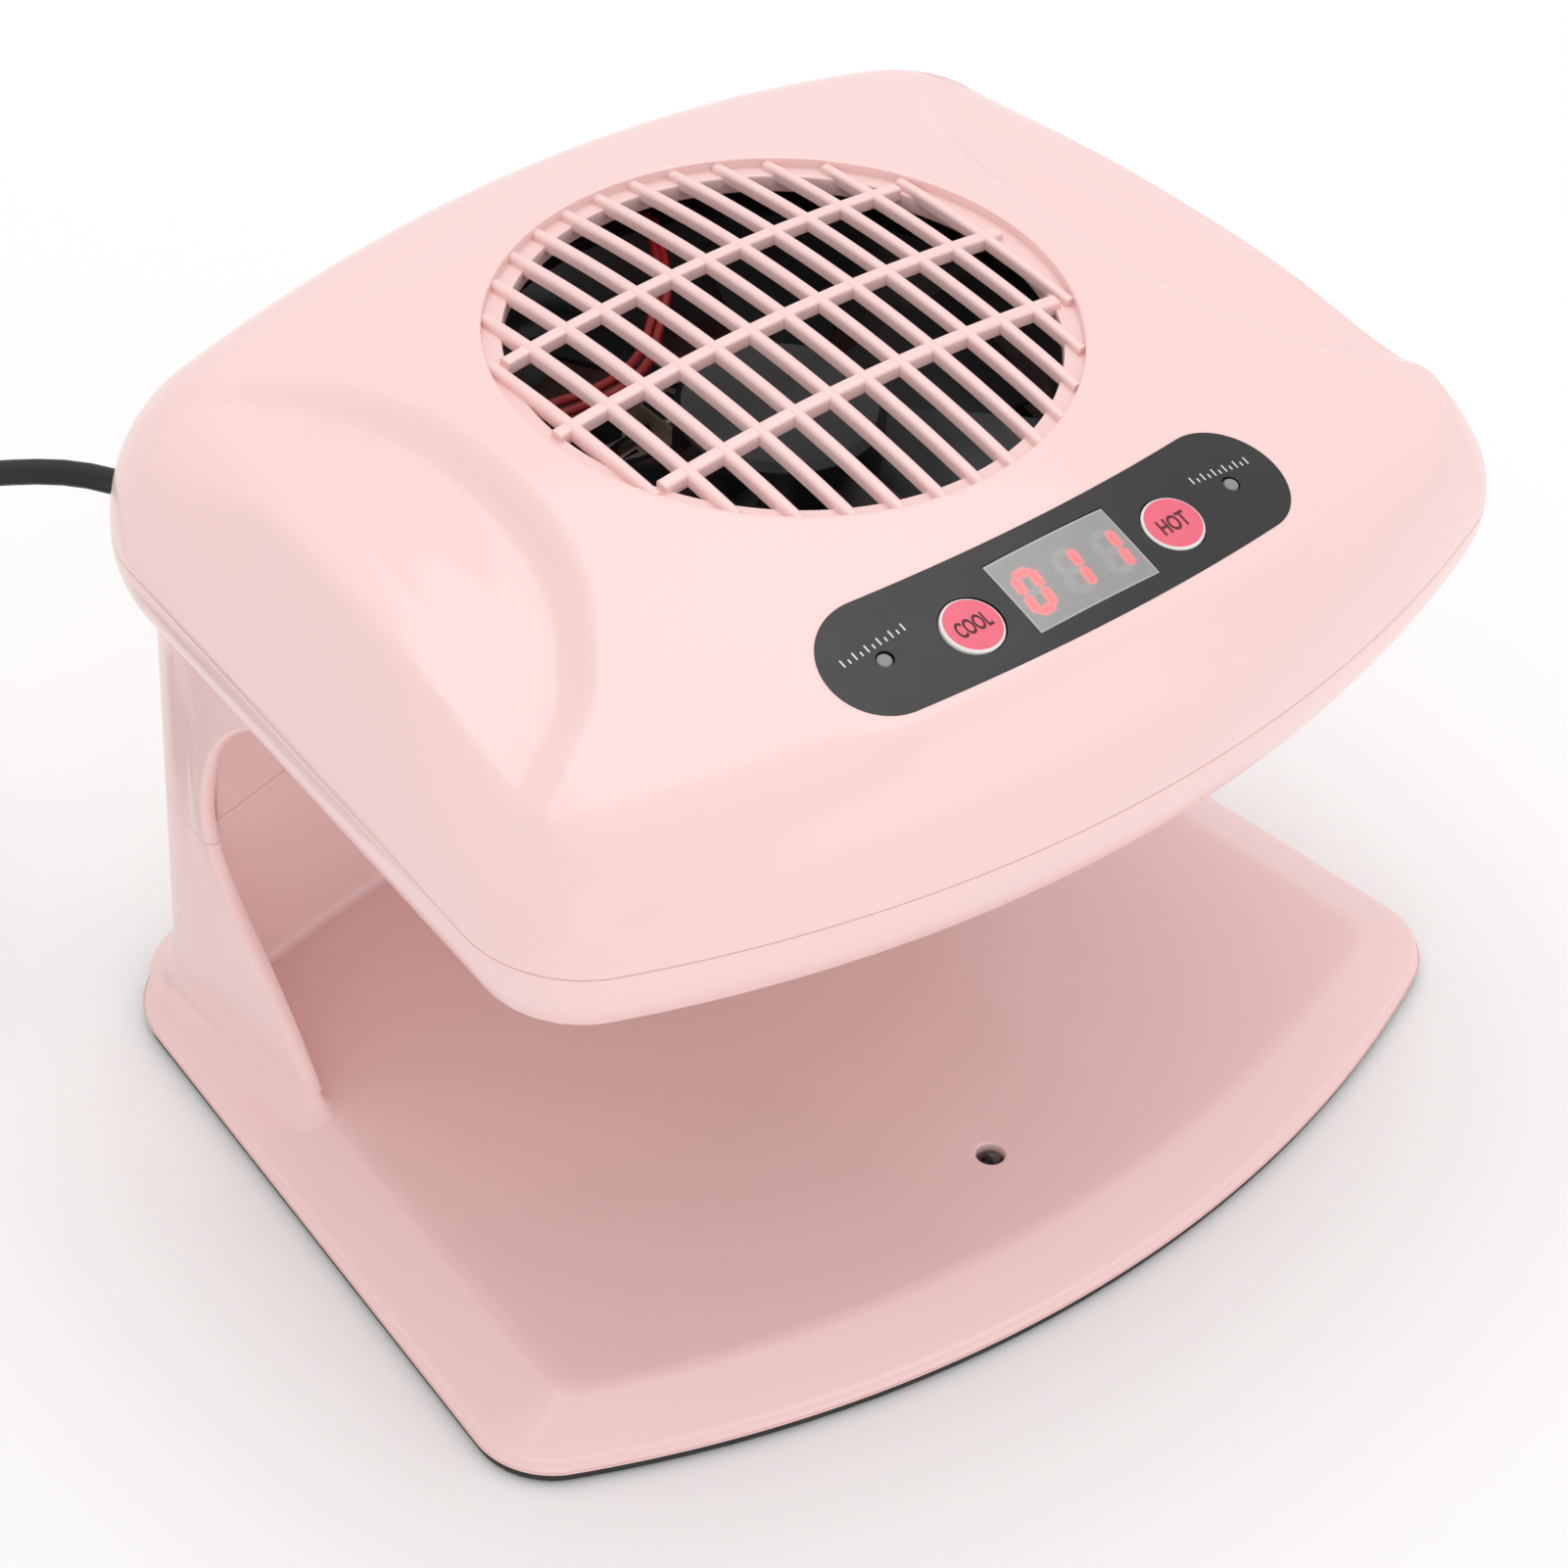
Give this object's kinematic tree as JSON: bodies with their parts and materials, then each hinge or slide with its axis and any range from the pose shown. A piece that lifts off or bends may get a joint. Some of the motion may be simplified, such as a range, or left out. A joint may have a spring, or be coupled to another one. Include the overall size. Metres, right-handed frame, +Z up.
{
  "type": "nail dryer",
  "caption": "Table-top nail dryer: a domed fan head with round top grille and key panel over an open hand bay on a flat base, with mains lead.",
  "frame": {"origin": "on the table, at the middle of the dryer's footprint without its lead", "axes": "+X to the user's right, +Y to the back, +Z up; the hand bay and keys face -Y"},
  "size_m": [0.338, 0.2875, 0.1736],
  "materials": {
    "body_pink": "glossy moulded",
    "plate_black": "fine moulded grain",
    "grille_black": "fine moulded grain",
    "foot_rubber": "matte",
    "screw_steel": "zinc plated",
    "mica": "mica board, satin",
    "heater_wire": "oxidised resistance wire",
    "sensor_black": "dark epoxy",
    "fan_black": "satin moulded",
    "copper_coil": "enamelled windings",
    "overlay_grey": "satin printed film",
    "window_grey": "clear window",
    "display_body": "grey potted display",
    "board_green": "solder mask",
    "button_red": "satin key cap",
    "switch_black": "satin",
    "lamp_lens": "diffused lens",
    "transformer_core": "varnished laminations",
    "cap_sleeve": "shrink sleeve",
    "sink_alu": "extruded",
    "terminal_green": "satin",
    "wire_red": "insulated wire",
    "cord_black": "satin PVC",
    "pin_metal": "nickel plated"
  },
  "bodies": {
    "housing": {"base_cover": "body_pink", "base_plate": "plate_black", "capacitor": "cap_sleeve", "control_ic": "switch_black", "control_pcb": "board_green", "cord_coil": "cord_black", "cord_lead": "cord_black", "cord_tail": "cord_black", "display_module": "display_body", "display_window": "window_grey", "fan_frame": "fan_black", "fan_stator": "copper_coil", "foot_front_left": "foot_rubber", "foot_front_right": "foot_rubber", "foot_rear_left": "foot_rubber", "foot_rear_right": "foot_rubber", "head_lower_shell": "body_pink", "heat_sink": "sink_alu", "heater_cards": "mica", "heater_coil": "heater_wire", "ir_sensor": "sensor_black", "lamp_cool": "lamp_lens", "lamp_hot": "lamp_lens", "lead_wires": "wire_red", "outlet_grille": "grille_black", "panel_overlay": "overlay_grey", "plug_body": "cord_black", "plug_pins": "pin_metal", "power_pcb": "board_green", "screws_base": "screw_steel", "screws_fan": "screw_steel", "screws_head": "screw_steel", "screws_power": "screw_steel", "sensor_pcb": "board_green", "strain_relief": "cord_black", "switch_cool": "switch_black", "switch_hot": "switch_black", "terminal_block": "terminal_green", "thermal_cutoff": "sensor_black", "top_cover": "body_pink", "transformer": "transformer_core", "triac": "switch_black"},
    "impeller": {"fan_impeller": "fan_black"},
    "cool_key": {"button_cool": "button_red"},
    "hot_key": {"button_hot": "button_red"}
  },
  "joints": [
    {"name": "fan_spin", "type": "hinge", "parent": "housing", "child": "impeller", "pos_m": [0, 0.0087, 0.1426], "axis": [0, 0, 1], "continuous": true},
    {"name": "cool_key_press", "type": "slide", "parent": "housing", "child": "cool_key", "axis": [0, 0.2497, -0.9683], "range_m": [0, 0.0005], "stiffness_N_per_m": 300, "springref_m": -0.0005},
    {"name": "hot_key_press", "type": "slide", "parent": "housing", "child": "hot_key", "axis": [0, 0.2497, -0.9683], "range_m": [0, 0.0005], "stiffness_N_per_m": 300, "springref_m": -0.0005}
  ]
}
